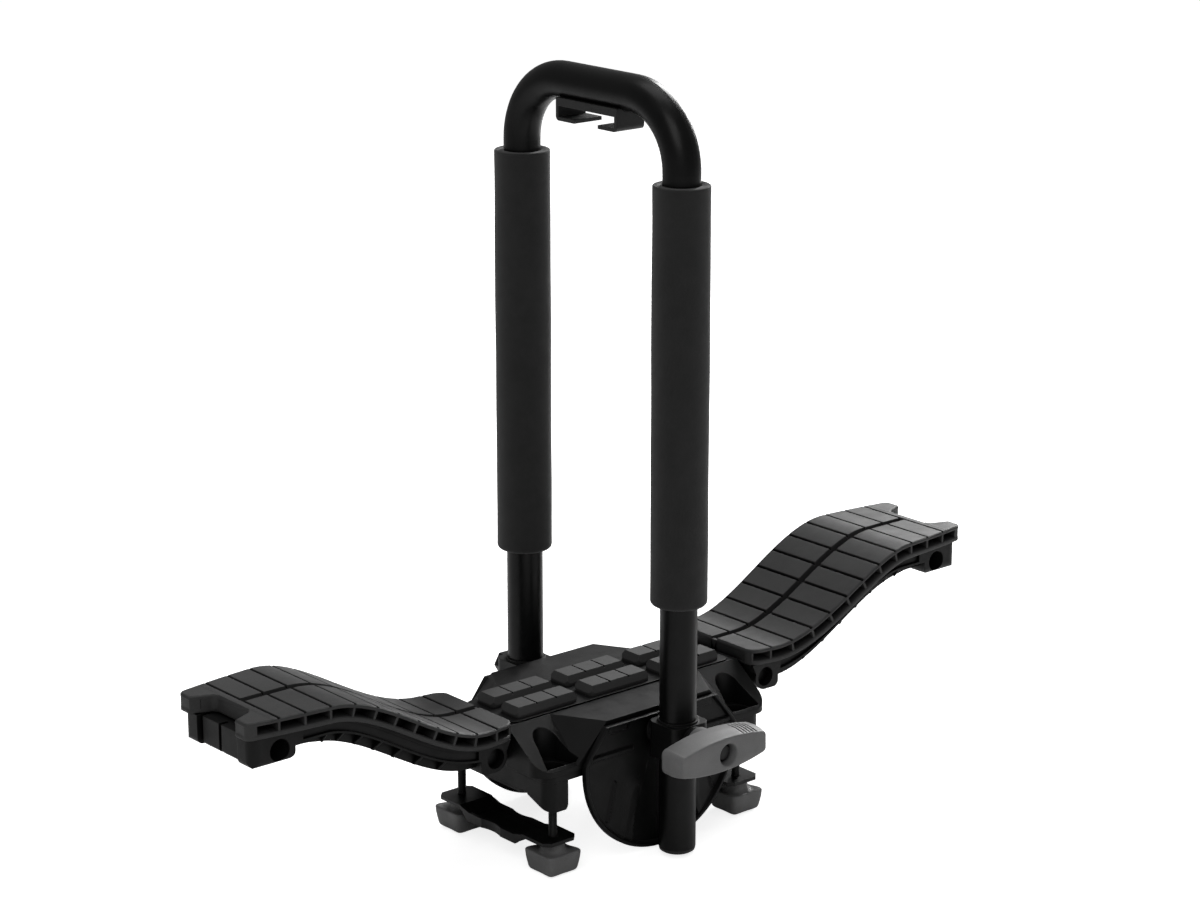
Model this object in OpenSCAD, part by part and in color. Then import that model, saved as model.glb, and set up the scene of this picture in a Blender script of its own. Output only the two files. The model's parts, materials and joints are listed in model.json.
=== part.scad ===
// Folding roof carrier for a paddle boat: a saddle of two wings and a padded U upright on one crossbar.
// Origin: centre of the face that rests on the crossbar. X runs along the crossbar, Z is up.

/* [Upright] */
// Outside diameter of the upright tube
tube_d = 25.4; // [25:0.1:26]
// Wall of the upright tube
tube_wall = 1.8; // [1.5:0.1:2.5]
// Distance from the middle to each leg
leg_y = 81.7; // [81.7:0.1:83]
// Height of the top run's centre line
crown_z = 464.4; // [440:1:480]
// Centre line radius of the two bends
bend_r = 46; // [40:1:50]
// Lower end of the legs, with the plugs
leg_low_z = -51; // [-52:1:-46]
// Outside diameter of the foam sleeves
foam_d = 39; // [34:0.1:40]
// Lower end of the foam sleeves
foam_low_z = 126; // [110:1:150]
// Upper end of the foam sleeves
foam_top_z = 411; // [380:1:415]

/* [Pivot] */
// Height of the pivot shaft and of the wing hinges
pivot_z = 33; // [33:0.5:34]
// Diameter of the pivot shaft
shaft_d = 10; // [9:0.5:11]
// Length of the tee handle
handle_l = 79; // [77:0.5:82]
// Height of the tee handle at its middle
handle_h = 27; // [26:0.5:28]

/* [Base] */
// Length of the base along the crossbar
base_l = 208; // [206:1:209]
// Width of the base across the crossbar
base_w = 124; // [124:0.1:124.4]
// Height of the cover's flat top
cover_z = 48; // [47.5:0.1:48.5]
// Height of the line where cover and housing part
split_z = 14; // [13:0.5:15]
// Wall of the moulded shells
wall = 3; // [2.5:0.1:3]

/* [Clamp] */
// Place of a clamp bolt along the crossbar
bolt_x = 83.7; // [82:0.1:85]
// Place of a clamp bolt across the crossbar
bolt_y = 49.6; // [48:0.1:50]
// Diameter of a clamp bolt
bolt_d = 6; // [5.5:0.1:6]
// Height of a strap's upper face
strap_z = -29; // [-31:0.5:-28]
// Side of a clamp knob
knob_w = 29; // [26:0.5:30]

/* [Wing] */
// Place of a wing's hinge pin along the crossbar
hinge_x = 122.5; // [122.5:0.1:123]
// Place of the accessory bore along the crossbar
tip_x = 295; // [293:0.5:296]
// Height of the accessory bore
tip_z = 83; // [82:0.5:83.5]
// Height of the pad's upper face at its inner end
pad_low_z = 55.7; // [55:0.1:57]
// How far the pad rises towards its tip
pad_rise = 50.6; // [48:0.1:52]
// Thickness of a pad
pad_t = 12; // [11.5:0.1:12.5]

/* [Hidden] */
$fn = 48;
eps = 0.05;               // running clearance of a shaft in its bore
big = 600;                // larger than the whole carrier
tube_r = tube_d / 2;
shaft_r = shaft_d / 2;
bolt_r = bolt_d / 2;
corner_r = 12;            // plan corners of the cover
lip_low = 19;             // underside of the cover's overhanging edge
body_l = base_l - 14;     // the base under that edge
body_w = base_w - 2;
body_r = 8;
shield_t = 4.5;           // thickness of a side shield
shield_r = 68.5;          // radius of a side shield
shield_z = 16;            // centre height of a side shield
disc_t = 1;               // friction disc between shield and collar
collar_in = base_w / 2 + shield_t + disc_t + eps;
collar_out = leg_y + 17.5;   // outer face of a collar
collar_z = [18, 43];      // lower and upper face of a collar
collar_w = 31;
collar_boss_r = 9.5;        // round end of a collar, its washer and friction disc
washer_t = 2;
handle_back = 112;        // the tee handle's rear and front faces
handle_front = 133;
handle_tilt = 1.2;
handle_x = -3.5;          // middle of the tee handle, and its height over the shaft
handle_up = 0.7;
handle_end = 7.5;         // half height of the handle at its ends
slope_y = 27;             // where the cover's corner faces leave its flat top
lip_z = 22.5;             // outer edge of the cover's corner faces
deck_x = 48.5;            // where the corner faces meet the deck's edge
facet_normal = cross([15.5, 0, -15.5], [17.5, slope_y - base_w / 2, 3]) * -1;
bar_pad_t = 3;
tower_z = -8;             // foot of a bolt tower
tower_x = 79.5;           // inner faces of a bolt tower
tower_y = 39;
head_z = 12;              // seat of a bolt head
well_r = 9.5;             // round well over a bolt head, and its wall
well_wall = 1.5;
pillar_x = 12;            // half width of the post under the pivot shaft
saddle_w = 80;            // width of the housing between the towers
screw_x = 60;             // cover screws and their bosses
screw_y = 18;
peg_x = 40;               // pegs that hold a side shield
peg_z = 24;
lug_w = 51;               // width and end radius of the base's hinge lug
lug_r = 9;
pin_r = 4;
pin_half = 30;
knuckle_y = 38;           // outer faces of a wing's knuckles and tip boss
knuckle_r = 9.5;
knuckle_x = 135;          // where a knuckle block ends and a tip boss starts
boss_x = 283;
pad_in = 107;             // ends of a wing pad
pad_out = 320;
pad_steps = 30;
seam = 0.15;              // half the joint between a pad and its frame
groove_n = 11;            // grooves across a pad
half_pitch = 9.2;         // from a groove to the middle of the next cell
first_cell = 115.1;
notch_x = 304;            // notch in a wing's tip, and its half widths
notch_in = 19.5;
notch_out = 26;
frame_out = 316.5;        // tip face of a wing frame
flange_t = 22;            // depth of a wing frame's side flange
web_y = 31;               // half width of the frame under that flange
top_pad_pitch = 65;       // spacing of the small top pads
rivet_y = 18;             // rivets of the strap guide
strap_t = 2.5;
strap_w = 28;
strap_half = 60;
knob_top = -38;
knob_h = 15;
nut_r = 6;

// ---- shared shapes ----

// Everything on the n side of the plane through p
module half_space(p, n) {
    tilt = acos(n[2] / norm(n));
    turn = atan2(n[1], n[0]);
    translate(p) rotate([0, tilt, turn]) translate([-big, -big, 0]) cube([2 * big, 2 * big, big]);
}

module rounded_plate(l, w, r, z0, z1) {
    translate([0, 0, z0]) linear_extrude(z1 - z0) rounded_rect(l, w, r);
}

module rounded_rect(l, w, r) {
    square([l - 2 * r, w], center = true);
    square([l, w - 2 * r], center = true);
    for (x = [-1, 1], y = [-1, 1]) translate([x * (l / 2 - r), y * (w / 2 - r)]) circle(r);
}

module box(x, y, z) {
    translate([x[0], y[0], z[0]]) cube([x[1] - x[0], y[1] - y[0], z[1] - z[0]]);
}

// A cylinder along Y at a given x and z
module y_rod(x, z, y0, y1, r) {
    translate([x, y1, z]) rotate([90, 0, 0]) cylinder(h = y1 - y0, r = r);
}

// An XZ outline carried along Y
module along_y(y0, y1) {
    translate([0, y1, 0]) rotate([90, 0, 0]) linear_extrude(y1 - y0) children();
}

module z_rod(x, y, z0, z1, r) {
    translate([x, y, z0]) cylinder(h = z1 - z0, r = r);
}

module four_corners(x, y) {
    for (sx = [-1, 1], sy = [-1, 1]) translate([sx * x, sy * y, 0]) children();
}

module four_quadrants() {
    for (sx = [0, 1], sy = [0, 1]) mirror([sx, 0, 0]) mirror([0, sy, 0]) children();
}

module both_ends_x() {
    for (s = [0, 1]) mirror([s, 0, 0]) children();
}

module both_sides_y() {
    for (s = [0, 1]) mirror([0, s, 0]) children();
}

// ---- base ----

module base_housing() color("#1c1c1d") difference() {
    union() {
        difference() {
            rounded_plate(body_l, saddle_w, 4, bar_pad_t, split_z);
            rounded_plate(body_l - 2 * wall, saddle_w - 2 * wall, 2, 2 * bar_pad_t, split_z + 1);
        }
        difference() {
            rounded_plate(body_l - 2 * wall - 0.2, body_w - 2 * wall - 0.2, body_r - wall,
                split_z, split_z + 2);
            rounded_plate(body_l - 6 * wall, saddle_w - 2 * wall, 4, split_z - 1, split_z + 3);
        }
        four_quadrants() tower();
        both_ends_x() end_wall();
        both_ends_x() lug();
        both_sides_y() shaft_pillar();
    }
    four_corners(bolt_x, bolt_y) {
        z_rod(0, 0, tower_z - 1, split_z, bolt_r + 0.3);
        z_rod(0, 0, head_z, split_z + 3, 8);
    }
    y_rod(0, pivot_z, -base_w, base_w, shaft_r + 2);
    both_ends_x() y_rod(hinge_x, pivot_z, -lug_w, lug_w, pin_r);
    four_corners(screw_x, screw_y) {
        z_rod(0, 0, bar_pad_t - 1, 2 * bar_pad_t + 1, 2.2);
        z_rod(0, 0, bar_pad_t - 1, bar_pad_t + 1.5, 4.2);
    }
}

// The column that a clamp bolt hangs from, its foot sloping down outwards
module tower() intersection() {
    rounded_plate(body_l, body_w, body_r, tower_z, split_z);
    along_y(tower_y, base_w) translate([(tower_x + body_l / 2) / 2, split_z])
        rounded_rect(body_l / 2 - tower_x, 2 * (split_z - tower_z), 5);
    half_space([0, tower_y, 1.5], [0, 0.386, 1]);
}

// The end face between two towers, its lower edge sloping down to them
module end_wall() intersection() {
    rounded_plate(body_l, body_w, body_r, tower_z, split_z);
    translate([body_l / 2 - wall, 0, 0]) rotate([90, 0, 90]) linear_extrude(wall)
        polygon([[-body_w / 2, split_z], [body_w / 2, split_z], [body_w / 2, -3], [53, -1.1], [37, 2.5],
            [22, 4.4], [-22, 4.4], [-37, 2.5], [-53, -1.1], [-body_w / 2, -3]]);
}

// The block between a wing's knuckles
module lug() {
    box([88, hinge_x], [-lug_w / 2, lug_w / 2], [pivot_z - 9, pivot_z + 6]);
    box([88, body_l / 2], [-lug_w / 2, lug_w / 2], [2 * bar_pad_t - 1, pivot_z]);
    y_rod(hinge_x, pivot_z, -lug_w / 2, lug_w / 2, lug_r);
}

// The post that carries one end of the pivot shaft
module shaft_pillar() box([-pillar_x, pillar_x], [42, base_w / 2], [2 * bar_pad_t - 1, cover_z - 5]);

// The cover's outer form, drawn in by t on every face: a body under an overhanging top with sloped corners
module cover_form(t) difference() {
    union() {
        rounded_plate(body_l - 2 * t, body_w - 2 * t, body_r - t, split_z - (t > 0 ? 1 : 0), lip_low + 2 * t);
        rounded_plate(base_l - 2 * t, base_w - 2 * t, corner_r - t, lip_low + t * 2 / 3, cover_z - t);
    }
    four_quadrants() intersection() {
        half_space([0, slope_y - t / 2, cover_z - t], [0, cover_z - lip_z, base_w / 2 - slope_y]);
        half_space([deck_x, base_w / 2, cover_z - 2 - 1.3 * t], facet_normal);
    }
}

module top_cover() color("#202021") {
    difference() {
        cover_form(0);
        difference() {
            cover_form(wall);
            four_quadrants() bolt_window(well_wall, split_z + 2.5);
        }
        four_quadrants() bolt_window(0, split_z - 1);
        both_sides_y() box([-pillar_x - 0.2, pillar_x + 0.2], [40, base_w], [split_z - 1, cover_z - 4.8]);
        both_ends_x() box([86, base_l], [-lug_w / 2 - 0.2, lug_w / 2 + 0.2], [split_z - 1, pivot_z + 6.2]);
        both_sides_y() for (x = [-peg_x, peg_x]) y_rod(x, peg_z, base_w / 2 - wall - 1, base_w, 2.5);
    }
    difference() {
        four_corners(screw_x, screw_y) z_rod(0, 0, 2 * bar_pad_t, cover_z - wall / 2, 5);
        four_corners(screw_x, screw_y) z_rod(0, 0, 0, 2 * bar_pad_t + 14, 2);
    }
}

// The opening in a corner face over a bolt head, grown by t: a round well below, flared outwards above
module bolt_window(t, low) {
    z_rod(bolt_x, bolt_y, low, cover_z, well_r - 1 + t);
    translate([bolt_x - 1, 0, lip_low + 2 - t]) linear_extrude(cover_z) {
        translate([0, bolt_y - 7]) circle(well_r + t);
        polygon([[-well_r - t, bolt_y - 7], [well_r + t, bolt_y - 7],
            [well_r + 4 + t, base_w / 2 - 2.5 + t], [-well_r - 4 - t, base_w / 2 - 2.5 + t]]);
    }
}

module cover_screws() color("#8a8a8c") four_corners(screw_x, screw_y) {
    z_rod(0, 0, bar_pad_t + 0.1, bar_pad_t + 1.5, 4);
    z_rod(0, 0, bar_pad_t + 1.4, 2 * bar_pad_t + 12, 2);
}

// Six ribbed rubber pads on the cover, three blocks each
module top_pads() color("#3a3a3c") for (x = [-1, 0, 1], y = [-13, 13])
    translate([x * top_pad_pitch, y, cover_z]) top_pad();

module top_pad() difference() {
    top_pad_block();
    for (x = [-8.5, 8.5]) box([x - 0.7, x + 0.7], [-12, 12], [6.8, 9]);
}

module top_pad_block() intersection() {
    rounded_plate(54, 20, 4, 0, 8);
    along_y(-50, 50) polygon([[-27, 0], [27, 0], [27, 3], [24, 8], [-24, 8], [-27, 3]]);
    translate([-50, 0, 0]) rotate([90, 0, 90]) linear_extrude(100)
        polygon([[-10, 0], [10, 0], [10, 3], [7.5, 8], [-7.5, 8], [-10, 3]]);
}

// Rubber sheet between housing and crossbar, open over the cover screws
module crossbar_pad() color("#2a2a2b") difference() {
    rounded_plate(base_l - 16, 70, 6, 0, bar_pad_t);
    four_corners(screw_x, screw_y) z_rod(0, 0, -1, bar_pad_t + 1, 4.6);
}

module shield_outline() difference() {
    translate([0, shield_z]) circle(shield_r, $fn = 120);
    translate([-big / 2, 45]) square(big);
    for (s = [-1, 1]) translate([s * 50, 45]) rotate(s * -52) translate([s > 0 ? 0 : -60, 0]) square(60);
}

// A side shield with a ledge under its top edge and fanned ribs
module shield() {
    y0 = base_w / 2;
    difference() {
        along_y(-y0 - shield_t, -y0) shield_outline();
        y_rod(0, pivot_z, -base_w, base_w, shaft_r + eps);
        along_y(-y0 - shield_t - 1, -y0 - shield_t + 1.5) shield_fan();
    }
    for (x = [-peg_x, peg_x]) y_rod(x, peg_z, -y0 - 0.5, -y0 + wall, 2.45);
}

// The sunk fields between the ribs
module shield_fan() intersection() {
    translate([0, shield_z]) circle(shield_r - 5, $fn = 120);
    translate([-big / 2, 18 - big]) square(big);
    for (a = [-150, -128, -106, -74, -52, -30]) translate([0, pivot_z])
        polygon([[26 * cos(a), 26 * sin(a)], [110 * cos(a - 9), 110 * sin(a - 9)],
            [110 * cos(a + 9), 110 * sin(a + 9)]]);
}

module front_shield() color("#232324") shield();

module rear_shield() color("#232324") mirror([0, 1, 0]) shield();

module clamp_bolts() color("#0f0f10") four_corners(bolt_x, bolt_y) {
    z_rod(0, 0, -52, head_z + 0.5, bolt_r);
    z_rod(0, 0, head_z, head_z + 3.5, 6.5);
}

module hinge_pins() color("#19191a") both_ends_x() y_rod(hinge_x, pivot_z, -pin_half, pin_half, pin_r);

module pin_retainers() color("#141414") both_ends_x() both_sides_y() difference() {
    y_rod(hinge_x, pivot_z, pin_half + 0.4, pin_half + 1.8, 6.5);
    y_rod(hinge_x, pivot_z, pin_half, pin_half + 1.2, 2);
}

module pivot_shaft() color("#77787a") y_rod(0, pivot_z, -128, 107, shaft_r);

module shaft_bushes() color("#b8b6ae") both_sides_y() difference() {
    y_rod(0, pivot_z, 43, base_w / 2, shaft_r + 2);
    y_rod(0, pivot_z, 42, base_w, shaft_r);
}

module friction_discs() color("#5c5c5e") both_sides_y() difference() {
    y_rod(0, pivot_z, collar_in - eps - disc_t, collar_in - eps, collar_boss_r);
    y_rod(0, pivot_z, collar_in - 3, collar_in + 3, shaft_r);
}

module shaft_nut() color("#77787a") difference() {
    translate([0, collar_out + 7.1, pivot_z]) rotate([90, 0, 0]) cylinder(h = 7, r = 9.2, $fn = 6);
    y_rod(0, pivot_z, 90, 120, shaft_r);
}

// ---- upright ----

// Clamp block around a leg, bored for leg and shaft
module collar() difference() {
    union() {
        translate([0, -(collar_in + leg_y + collar_w / 2) / 2, 0])
            rounded_plate(collar_w, leg_y + collar_w / 2 - collar_in, 6, collar_z[0], collar_z[1]);
        y_rod(0, pivot_z, -collar_out, -leg_y, collar_boss_r);
        z_rod(0, -leg_y, collar_z[1] - 1, collar_z[1] + 1.5, tube_r + 1.4);
    }
    z_rod(0, -leg_y, collar_z[0] - 1, collar_z[1] + 2, tube_r);
    y_rod(0, pivot_z, -collar_out - 2, 0, shaft_r + eps);
}

module front_collar() color("#1e1e1f") collar();

module rear_collar() color("#1e1e1f") mirror([0, 1, 0]) collar();

module tube_ring() difference() {
    circle(tube_r);
    circle(tube_r - tube_wall);
}

module upright_tube() color("#151516") difference() {
    union() {
        both_sides_y() {
            translate([0, leg_y, leg_low_z + 3]) linear_extrude(crown_z - bend_r - leg_low_z - 3) tube_ring();
            translate([0, leg_y - bend_r, crown_z - bend_r]) rotate([90, 0, 90])
                rotate_extrude(angle = 90) translate([bend_r, 0]) tube_ring();
        }
        translate([0, leg_y - bend_r, crown_z]) rotate([90, 0, 0])
            linear_extrude(2 * (leg_y - bend_r)) tube_ring();
    }
    y_rod(0, pivot_z, -big / 2, big / 2, shaft_r + eps);
    for (y = [-rivet_y, rivet_y]) z_rod(0, y, crown_z - tube_d, crown_z, 2);
}

// Foam sleeve with a rounded lower edge
module foam_sleeve() {
    r = foam_d / 2;
    edge = 3;
    rotate_extrude() polygon([[tube_r + eps, foam_low_z], [r - edge, foam_low_z],
        [r - edge / 3, foam_low_z + 1], [r, foam_low_z + edge], [r, foam_top_z - 1],
        [r - 1, foam_top_z], [tube_r + eps, foam_top_z]]);
}

module front_foam_sleeve() color("#2b2b2d") translate([0, -leg_y, 0]) foam_sleeve();

module rear_foam_sleeve() color("#2b2b2d") translate([0, leg_y, 0]) foam_sleeve();

module tube_plugs() color("#1a1a1b") for (y = [-leg_y, leg_y]) translate([0, y, leg_low_z]) rotate_extrude()
    polygon([[0, 0], [tube_r - 2, 0], [tube_r - 0.5, 1], [tube_r, 3], [tube_r - tube_wall, 3],
        [tube_r - tube_wall, 15], [0, 15]]);

// Channel under the crown that a strap is fed through
module strap_guide() color("#191919") {
    top = crown_z - tube_r;
    difference() {
        translate([-12, 0, top + 3]) rotate([90, 0, 90]) linear_extrude(24) intersection() {
            rounded_rect(62, 31, 3);
            translate([-31, -15.5]) square([62, 15.5]);
        }
        y_rod(0, crown_z, -40, 40, tube_r);
        box([-13, 13], [-28.5, 28.5], [top - 10, top - 2.5]);
        box([-13, 13], [-12, 12], [top - 13, top - 9]);
        for (y = [-rivet_y, rivet_y]) z_rod(0, y, top - 5, top + 5, 2);
    }
}

module guide_rivets() color("#2e2e30") for (y = [-rivet_y, rivet_y]) {
    z_rod(0, y, crown_z - tube_r - 2.5, crown_z - tube_r + tube_wall + 1, 2);
    z_rod(0, y, crown_z - tube_r - 4, crown_z - tube_r - 2.5, 3.5);
}

// ---- tee handle ----

module thrust_washer() color("#8b8c8e") difference() {
    y_rod(0, pivot_z, -collar_out - 0.1 - washer_t, -collar_out - 0.1, collar_boss_r);
    y_rod(0, pivot_z, -120, -90, shaft_r + eps);
}

// Radius of the handle's two bowed edges, and their height at x
handle_rise = handle_h / 2 - handle_end;
handle_r = (pow(handle_l / 2, 2) + pow(handle_rise, 2)) / (2 * handle_rise);
function handle_edge(x) = handle_h / 2 - handle_r + sqrt(pow(handle_r, 2) - x * x);

module tee_handle() color("#6f7072") difference() {
    union() {
        in_handle() along_y(-handle_front, -handle_back) intersection() {
            translate([0, handle_h / 2 - handle_r]) circle(handle_r, $fn = 200);
            translate([0, handle_r - handle_h / 2]) circle(handle_r, $fn = 200);
            square([handle_l, handle_h + 1], center = true);
        }
        y_rod(0, pivot_z, -handle_back - 1, -collar_out - washer_t - 0.2, 11);
    }
    y_rod(0, pivot_z, -120, -90, shaft_r + 2);
    y_rod(0, pivot_z, -handle_front - 1, -handle_front + 9, 7.7);
    y_rod(0, pivot_z, -handle_front + 8, -handle_back - 2, 7.5);
    in_handle() for (i = [0:4]) finger_groove(17 + 3.1 * i);
}

module in_handle() translate([handle_x, 0, pivot_z + handle_up]) rotate([0, -handle_tilt, 0]) children();

module finger_groove(x)
    box([x, x + 0.8], [-handle_front + 2, -handle_back - 3], [handle_edge(x) - 1, handle_h]);

// Threaded steel insert that the handle turns on the shaft
module handle_insert() color("#4a4a4c") difference() {
    y_rod(0, pivot_z, -handle_front + 9, -handle_back - 2, 7.5);
    y_rod(0, pivot_z, -140, -90, shaft_r + eps);
}

// ---- wings ----

function ease(t) = t < 0 ? 0 : t > 1 ? 1 : t * t * (3 - 2 * t);
// Height and slope of a pad's upper face
function pad_top(x) = pad_low_z + pad_rise * ease((x - 128) / 132);
function pad_slope(x) = (pad_top(x + 0.5) - pad_top(x - 0.5));
// Height at a depth t under that face, measured square to it
function below_pad(x, t) = pad_top(x) - t * sqrt(1 + pow(pad_slope(x), 2));
// Half width of the barrel outline, with both ends rounded off
function barrel(x) = 48 - 6 * pow((x - 211.3) / 87, 2);
function round_off(d, r) = d >= r ? 0 : r - sqrt(max(0, r * r - pow(r - d, 2)));
function pad_half(x) = barrel(x) - round_off(x - pad_in, 9) - round_off(pad_out - x, 5);
// Lower edge of the wing frame
function beam_low(x) = pad_top(x) - 26.5 - 6.5 * max(0, 1 - pow((x - 198) / 72, 2));
// Even steps along the curved face: odd ones are grooves, even ones the middles of the cells between
function station(n) = n == 0 ? first_cell : step_from(station(n - 1));
function step_from(x) = x + half_pitch / sqrt(1 + pow(pad_slope(x + half_pitch / 2), 2));
function xs(a, b, n) = [for (i = [0:n]) a + (b - a) * i / n];

// XZ band between two depths under the pad's face
module band(a, b, t0, t1, n = pad_steps) polygon(concat(
    [for (x = xs(a, b, n)) [x, below_pad(x, t0)]], [for (x = xs(b, a, n)) [x, below_pad(x, t1)]]));

module plan_outline() {
    inner = [for (i = [0:6]) pad_in + 9 * (1 - cos(15 * i))];
    middle = xs(pad_in + 16, pad_out - 10, 12);
    outer = [for (i = [6:-1:0]) pad_out - 5 * (1 - cos(15 * i))];
    line = concat(inner, middle, outer);
    polygon(concat([for (x = line) [x, pad_half(x)]],
        [for (i = [len(line) - 1:-1:0]) [line[i], -pad_half(line[i])]]));
}

module tip_notch() polygon([[notch_x, -notch_in], [notch_x, notch_in], [pad_out + 2, notch_out],
    [pad_out + 2, -notch_out]]);

module wing_pad() difference() {
    intersection() {
        along_y(-60, 60) band(pad_in, pad_out, 0, pad_t - seam);
        linear_extrude(big) plan_outline();
    }
    linear_extrude(big) tip_notch();
    along_y(-2.5, 2.5) band(pad_in - 5, 298, -3, 3);
    for (k = [0:groove_n - 1]) at_slope(station(2 * k + 1)) box([-0.8, 0.8], [-60, 60], [-1.6, 3]);
    both_sides_y() for (k = [0:groove_n]) edge_window(station(2 * k));
}

module at_slope(x) translate([x, 0, pad_top(x)]) rotate([0, -atan(pad_slope(x)), 0]) children();

// One of the open cells along a pad's edge
module edge_window(x) at_slope(x) box([-8, 8], [pad_half(x) - 10, 60], [-pad_t + 3.5, -2.8]);

function arc(x, z, r, from, to) = [for (i = [0:6]) let(a = from + (to - from) * i / 6)
    [x + r * cos(a), z + r * sin(a)]];

// Side view of a wing frame: knuckle block, beam and rounded tip boss in one line
module frame_outline() polygon(concat(
    [for (x = xs(pad_in + 3, frame_out, pad_steps)) [x, below_pad(x, pad_t + seam)]],
    arc(frame_out - 4.5, tip_z - 4.5, 4.5, 0, -90), arc(boss_x + 6, tip_z - 3, 6, 270, 180),
    [for (x = xs(boss_x - 0.1, knuckle_x + 0.1, pad_steps)) [x, beam_low(x)]],
    arc(knuckle_x - 4, pivot_z - knuckle_r + 4, 4, 0, -90),
    [for (a = [270:-10:160]) [hinge_x + knuckle_r * cos(a), pivot_z + knuckle_r * sin(a)]]));

module wing_frame() difference() {
    intersection() {
        along_y(-knuckle_y, knuckle_y) frame_outline();
        linear_extrude(big) translate([frame_out - 150, 0]) rounded_rect(300, 2 * knuckle_y, 7);
    }
    both_sides_y() along_y(-knuckle_y - 1, -knuckle_y + 2) band(137, 277, pad_t + 2.5, flange_t - 1.5);
    both_sides_y() along_y(-knuckle_y - 1, -web_y) band(knuckle_x, boss_x, flange_t, 60);
    both_sides_y() tip_rounding();
    for (i = [0:5]) underside_pocket(146 + 21 * i, 164 + 21 * i);
    box([90, hinge_x + 14], [-lug_w / 2 - 0.25, lug_w / 2 + 0.25], [0, pad_low_z - pad_t + 1]);
    y_rod(hinge_x, pivot_z, -60, 60, pin_r + eps);
    both_sides_y() y_rod(hinge_x, pivot_z, pin_half + 0.2, 60, 7);
    y_rod(tip_x, tip_z, -60, 60, 7.5);
    for (y = [-21, 0, 21]) box([frame_out - 9, 330], [y - 1.5, y + 1.5], [60, 120]);
    along_y(-21, 21) polygon([[frame_out - 11, 60], [frame_out - 11, tip_z - 8.5], [frame_out - 4.5, tip_z - 8.5],
        [frame_out - 2.5, tip_z - 6.5], [frame_out - 2.5, 120], [330, 120], [330, 60]]);
}

// Takes the lower edge off a tip boss
module tip_rounding() difference() {
    box([boss_x - 1, 330], [knuckle_y - 5, 60], [60, tip_z - 4]);
    translate([boss_x - 2, knuckle_y - 5, tip_z - 4]) rotate([0, 90, 0]) cylinder(h = 60, r = 5);
}

// A pocket between two cross ribs, open at the bottom
module underside_pocket(a, b) for (s = [-1, 1]) along_y(s > 0 ? 2 : -26, s > 0 ? 26 : -2) intersection() {
    band(a, b, pad_t + 4, 90, 4);
    translate([a, 0]) square([b - a, 200]);
}

module left_wing_frame() color("#1a1a1b") mirror([1, 0, 0]) wing_frame();

module left_wing_pad() color("#353537") mirror([1, 0, 0]) wing_pad();

module right_wing_frame() color("#1a1a1b") wing_frame();

module right_wing_pad() color("#353537") wing_pad();

// ---- clamps ----

// Pressed steel strap: flat ends, sunk middle with turned-up edges
module clamp_strap() translate([bolt_x, 0, 0]) difference() {
    union() {
        translate([-strap_w / 2, 0, 0]) rotate([90, 0, 90]) linear_extrude(strap_w) strap_line();
        for (s = [-1, 1]) translate([s > 0 ? strap_w / 2 - strap_t : -strap_w / 2, 0, 0])
            rotate([90, 0, 90]) linear_extrude(strap_t)
                polygon([[-34, strap_z - strap_t], [-26, strap_z - 9.5], [26, strap_z - 9.5],
                    [34, strap_z - strap_t], [34, strap_z - 0.5], [24, strap_z - 3],
                    [-24, strap_z - 3], [-34, strap_z - 0.5]]);
    }
    for (y = [-bolt_y, bolt_y]) z_rod(0, y, strap_z - 10, strap_z + 10, bolt_r + eps);
    for (x = [-1, 1]) translate([x * (strap_w / 2 + 26), 0, strap_z - 20]) cylinder(h = 30, r = 28, $fn = 96);
    for (x = [-1, 1], y = [-1, 1]) translate([x * strap_w / 2, y * strap_half, strap_z - 10])
        rotate(45) translate([-3, -3, 0]) cube([6, 6, 20]);
}

module strap_line() {
    low = strap_z - 7;
    polygon([[-strap_half, strap_z], [-34, strap_z], [-26, low], [26, low], [34, strap_z],
        [strap_half, strap_z], [strap_half, strap_z - strap_t], [33, strap_z - strap_t],
        [25, low - strap_t], [-25, low - strap_t], [-33, strap_z - strap_t],
        [-strap_half, strap_z - strap_t]]);
}

module left_clamp_strap() color("#121213") mirror([1, 0, 0]) clamp_strap();

module right_clamp_strap() color("#121213") clamp_strap();

// Rounded square knob that narrows downwards, with a round neck
module knob(x, y) translate([x, y, 0]) difference() {
    union() {
        intersection() {
            rounded_plate(knob_w, knob_w, 3, knob_top - knob_h, knob_top);
            translate([0, 0, knob_top]) knob_taper();
        }
        z_rod(0, 0, knob_top - 1, strap_z - strap_t - 0.1, nut_r + 2.5);
    }
    z_rod(0, 0, knob_top - knob_h - 1, knob_top - 8, bolt_r + 1);
    z_rod(0, 0, knob_top - 9, strap_z, nut_r);
}

module knob_taper() {
    w = knob_w / 2;
    side = [[-w, 0], [w, 0], [w - 0.5, -7], [w - 2, -knob_h + 2], [w - 4.5, -knob_h],
        [-w + 4.5, -knob_h], [-w + 2, -knob_h + 2], [-w + 0.5, -7]];
    intersection() {
        along_y(-w, w) polygon(side);
        rotate(90) along_y(-w, w) polygon(side);
    }
}

// Threaded steel nut moulded into a knob
module knob_nut(x, y) difference() {
    z_rod(x, y, knob_top - 9, strap_z - strap_t - 0.1, nut_r);
    z_rod(x, y, knob_top - 10, strap_z, bolt_r + eps);
}

module front_left_knob() color("#4b4c4e") knob(-bolt_x, -bolt_y);

module front_left_knob_nut() color("#8f8f90") knob_nut(-bolt_x, -bolt_y);

module rear_left_knob() color("#4b4c4e") knob(-bolt_x, bolt_y);

module rear_left_knob_nut() color("#8f8f90") knob_nut(-bolt_x, bolt_y);

module front_right_knob() color("#4b4c4e") knob(bolt_x, -bolt_y);

module front_right_knob_nut() color("#8f8f90") knob_nut(bolt_x, -bolt_y);

module rear_right_knob() color("#4b4c4e") knob(bolt_x, bolt_y);

module rear_right_knob_nut() color("#8f8f90") knob_nut(bolt_x, bolt_y);

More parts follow.
